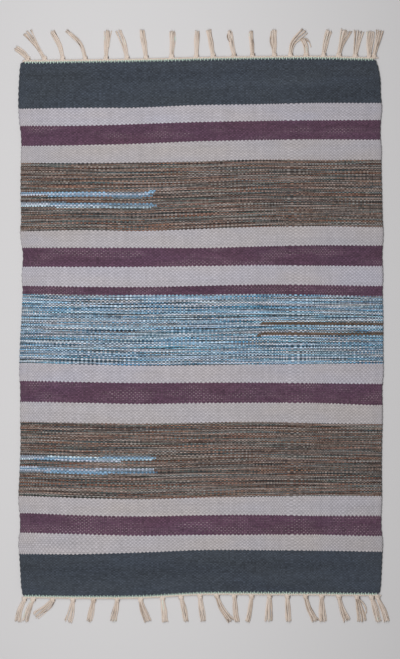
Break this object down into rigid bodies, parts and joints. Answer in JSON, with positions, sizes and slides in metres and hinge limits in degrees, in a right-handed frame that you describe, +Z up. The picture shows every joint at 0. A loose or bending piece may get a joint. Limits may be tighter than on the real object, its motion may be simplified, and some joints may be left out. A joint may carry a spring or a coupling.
{
  "type": "kilim rug",
  "caption": "Flat-woven striped cotton rug with a knotted fringe at each end, lying flat.",
  "frame": {"origin": "on the floor, under the middle of the rug's whole extent with its fringes", "axes": "+Y along the rug towards its far fringe, +X across it, +Z up from the floor"},
  "size_m": [0.62, 0.9802, 0.0042],
  "materials": {
    "striped_cloth": "matt weft-faced cotton weave in blue, purple, brown, grey and dark teal stripes",
    "undyed_cotton": "matt undyed two-ply cotton thread"
  },
  "bodies": {
    "root": {"rug_field": "striped_cloth", "fringe_far": "undyed_cotton", "fringe_near": "undyed_cotton"}
  },
  "joints": []
}
